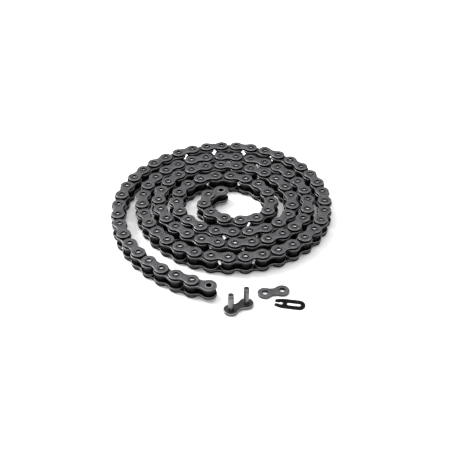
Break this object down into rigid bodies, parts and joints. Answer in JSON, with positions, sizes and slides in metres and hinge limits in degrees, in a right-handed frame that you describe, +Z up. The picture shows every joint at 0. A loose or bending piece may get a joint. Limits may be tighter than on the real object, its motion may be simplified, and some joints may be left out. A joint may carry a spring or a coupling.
{
  "type": "roller drive chain",
  "caption": "Motorcycle roller drive chain lying on its side in an open spiral coil, with a loose clip-type connecting link, side plate and spring clip in front.",
  "frame": {"origin": "centre of the overall bounding box, on the surface the chain lies on", "axes": "+Z up, along every pin; +Y away from the loose connecting link; +X to the right"},
  "size_m": [0.2164, 0.2534, 0.02],
  "materials": {
    "chain_plate": "satin black oxide",
    "chain_pin": "blued steel with a dimpled end",
    "bushing_steel": "dark ground steel",
    "roller_steel": "dark oiled steel",
    "bright_pin": "bright ground steel",
    "loose_plate": "grey phosphated steel",
    "clip_steel": "black oxide spring steel"
  },
  "bodies": {
    "coil": {"coil_section_01": "chain_plate", "coil_section_02": "chain_plate", "coil_section_03": "chain_plate", "coil_section_04": "chain_plate", "coil_section_05": "chain_plate", "coil_section_06": "chain_plate", "coil_section_07": "chain_plate", "coil_section_08": "chain_plate", "coil_section_09": "chain_plate", "coil_section_10": "chain_plate", "coil_section_11": "chain_plate", "coil_section_12": "chain_plate", "coil_section_13": "chain_plate", "coil_section_14": "chain_plate", "coil_section_15": "chain_plate"},
    "inner_tail_4": {"inner_tail_link_4": "chain_plate"},
    "inner_tail_3": {"inner_tail_link_3": "chain_plate"},
    "inner_tail_2": {"inner_tail_link_2_plate_top": "chain_plate", "inner_tail_link_2_plate_bottom": "chain_plate", "inner_tail_link_2_pin_near": "chain_pin", "inner_tail_link_2_pin_far": "chain_pin"},
    "inner_tail_1": {"inner_tail_link_1_plate_top": "chain_plate", "inner_tail_link_1_plate_bottom": "chain_plate", "inner_tail_link_1_bushing_near": "bushing_steel", "inner_tail_link_1_bushing_far": "bushing_steel"},
    "inner_tail_1_roller_near": {"inner_tail_link_1_roller_near": "roller_steel"},
    "inner_tail_1_roller_far": {"inner_tail_link_1_roller_far": "roller_steel"},
    "outer_tail_01": {"outer_tail_link_01": "chain_plate"},
    "outer_tail_02": {"outer_tail_link_02": "chain_plate"},
    "outer_tail_03": {"outer_tail_link_03": "chain_plate"},
    "outer_tail_04": {"outer_tail_link_04": "chain_plate"},
    "outer_tail_05": {"outer_tail_link_05": "chain_plate"},
    "outer_tail_06": {"outer_tail_link_06": "chain_plate"},
    "outer_tail_07": {"outer_tail_link_07": "chain_plate"},
    "outer_tail_08": {"outer_tail_link_08": "chain_plate"},
    "outer_tail_09": {"outer_tail_link_09": "chain_plate"},
    "outer_tail_10": {"outer_tail_link_10": "chain_plate"},
    "outer_tail_11": {"outer_tail_link_11_plate_top": "chain_plate", "outer_tail_link_11_plate_bottom": "chain_plate", "outer_tail_link_11_bushing_near": "bushing_steel", "outer_tail_link_11_bushing_far": "bushing_steel"},
    "outer_tail_12": {"outer_tail_link_12_plate_top": "chain_plate", "outer_tail_link_12_plate_bottom": "chain_plate", "outer_tail_link_12_pin_near": "chain_pin", "outer_tail_link_12_pin_far": "chain_pin"},
    "outer_tail_13": {"outer_tail_link_13_plate_top": "chain_plate", "outer_tail_link_13_plate_bottom": "chain_plate", "outer_tail_link_13_bushing_near": "bushing_steel", "outer_tail_link_13_bushing_far": "bushing_steel"},
    "outer_tail_11_roller_near": {"outer_tail_link_11_roller_near": "roller_steel"},
    "outer_tail_11_roller_far": {"outer_tail_link_11_roller_far": "roller_steel"},
    "outer_tail_13_roller_near": {"outer_tail_link_13_roller_near": "roller_steel"},
    "outer_tail_13_roller_far": {"outer_tail_link_13_roller_far": "roller_steel"},
    "connecting_link": {"connecting_pin_plate": "loose_plate", "connecting_pin_1": "bright_pin", "connecting_pin_2": "bright_pin"},
    "side_plate": {"connecting_side_plate": "loose_plate"},
    "clip": {"spring_clip": "clip_steel"}
  },
  "joints": [
    {"name": "inner_tail_pin_4", "type": "hinge", "parent": "coil", "child": "inner_tail_4", "pos_m": [0.00234, -0.00739, 0.0091], "axis": [0, 0, 1], "range_deg": [-10, 1]},
    {"name": "inner_tail_pin_3", "type": "hinge", "parent": "inner_tail_4", "child": "inner_tail_3", "pos_m": [-0.01058, 0.00183, 0.0091], "axis": [0, 0, 1], "range_deg": [-15, 2]},
    {"name": "inner_tail_pin_2", "type": "hinge", "parent": "inner_tail_3", "child": "inner_tail_2", "pos_m": [-0.01762, 0.01606, 0.0091], "axis": [0, 0, 1], "range_deg": [-20, 3]},
    {"name": "inner_tail_pin_1", "type": "hinge", "parent": "inner_tail_2", "child": "inner_tail_1", "pos_m": [-0.01349, 0.03139, 0.0091], "axis": [0, 0, 1], "range_deg": [-40, 15]},
    {"name": "inner_tail_1_roller_near_spin", "type": "hinge", "parent": "inner_tail_1", "child": "inner_tail_1_roller_near", "pos_m": [-0.00092, 0.04108, 0.0091], "axis": [0, 0, 1], "continuous": true},
    {"name": "inner_tail_1_roller_far_spin", "type": "hinge", "parent": "inner_tail_1", "child": "inner_tail_1_roller_far", "pos_m": [-0.01349, 0.03139, 0.0091], "axis": [0, 0, 1], "continuous": true},
    {"name": "outer_tail_01_pin", "type": "hinge", "parent": "coil", "child": "outer_tail_01", "pos_m": [-0.08943, 0.06063, 0.0091], "axis": [0, 0, 1], "range_deg": [-14, 0]},
    {"name": "outer_tail_02_pin", "type": "hinge", "parent": "outer_tail_01", "child": "outer_tail_02", "pos_m": [-0.09563, 0.04602, 0.0091], "axis": [0, 0, 1], "range_deg": [-14, 0]},
    {"name": "outer_tail_03_pin", "type": "hinge", "parent": "outer_tail_02", "child": "outer_tail_03", "pos_m": [-0.09953, 0.03063, 0.0091], "axis": [0, 0, 1], "range_deg": [-14, 0]},
    {"name": "outer_tail_04_pin", "type": "hinge", "parent": "outer_tail_03", "child": "outer_tail_04", "pos_m": [-0.10108, 0.01483, 0.0091], "axis": [0, 0, 1], "range_deg": [-14, 0]},
    {"name": "outer_tail_05_pin", "type": "hinge", "parent": "outer_tail_04", "child": "outer_tail_05", "pos_m": [-0.10032, -0.00103, 0.0091], "axis": [0, 0, 1], "range_deg": [-16, 0]},
    {"name": "outer_tail_06_pin", "type": "hinge", "parent": "outer_tail_05", "child": "outer_tail_06", "pos_m": [-0.09731, -0.01662, 0.0091], "axis": [0, 0, 1], "range_deg": [-16, 0]},
    {"name": "outer_tail_07_pin", "type": "hinge", "parent": "outer_tail_06", "child": "outer_tail_07", "pos_m": [-0.09217, -0.03164, 0.0091], "axis": [0, 0, 1], "range_deg": [-16, 0]},
    {"name": "outer_tail_08_pin", "type": "hinge", "parent": "outer_tail_07", "child": "outer_tail_08", "pos_m": [-0.08507, -0.04583, 0.0091], "axis": [0, 0, 1], "range_deg": [-20, 0]},
    {"name": "outer_tail_09_pin", "type": "hinge", "parent": "outer_tail_08", "child": "outer_tail_09", "pos_m": [-0.07623, -0.05902, 0.0091], "axis": [0, 0, 1], "range_deg": [-20, 1]},
    {"name": "outer_tail_10_pin", "type": "hinge", "parent": "outer_tail_09", "child": "outer_tail_10", "pos_m": [-0.06579, -0.07098, 0.0091], "axis": [0, 0, 1], "range_deg": [-25, 2]},
    {"name": "outer_tail_11_pin", "type": "hinge", "parent": "outer_tail_10", "child": "outer_tail_11", "pos_m": [-0.05384, -0.08143, 0.0091], "axis": [0, 0, 1], "range_deg": [-30, 4]},
    {"name": "outer_tail_12_pin", "type": "hinge", "parent": "outer_tail_11", "child": "outer_tail_12", "pos_m": [-0.04058, -0.09016, 0.0091], "axis": [0, 0, 1], "range_deg": [-40, 10]},
    {"name": "outer_tail_13_pin", "type": "hinge", "parent": "outer_tail_12", "child": "outer_tail_13", "pos_m": [-0.02624, -0.09697, 0.0091], "axis": [0, 0, 1], "range_deg": [-60, 30]},
    {"name": "outer_tail_11_roller_near_spin", "type": "hinge", "parent": "outer_tail_11", "child": "outer_tail_11_roller_near", "pos_m": [-0.05384, -0.08143, 0.0091], "axis": [0, 0, 1], "continuous": true},
    {"name": "outer_tail_11_roller_far_spin", "type": "hinge", "parent": "outer_tail_11", "child": "outer_tail_11_roller_far", "pos_m": [-0.04058, -0.09016, 0.0091], "axis": [0, 0, 1], "continuous": true},
    {"name": "outer_tail_13_roller_near_spin", "type": "hinge", "parent": "outer_tail_13", "child": "outer_tail_13_roller_near", "pos_m": [-0.02624, -0.09697, 0.0091], "axis": [0, 0, 1], "continuous": true},
    {"name": "outer_tail_13_roller_far_spin", "type": "hinge", "parent": "outer_tail_13", "child": "outer_tail_13_roller_far", "pos_m": [-0.0111, -0.10174, 0.0091], "axis": [0, 0, 1], "continuous": true},
    {"name": "connecting_link_lift", "type": "slide", "parent": "coil", "child": "connecting_link", "axis": [0, 0, 1], "range_m": [0, 0.04]},
    {"name": "side_plate_lift", "type": "slide", "parent": "coil", "child": "side_plate", "axis": [0, 0, 1], "range_m": [0, 0.04]},
    {"name": "clip_lift", "type": "slide", "parent": "coil", "child": "clip", "axis": [0, 0, 1], "range_m": [0, 0.04]}
  ]
}
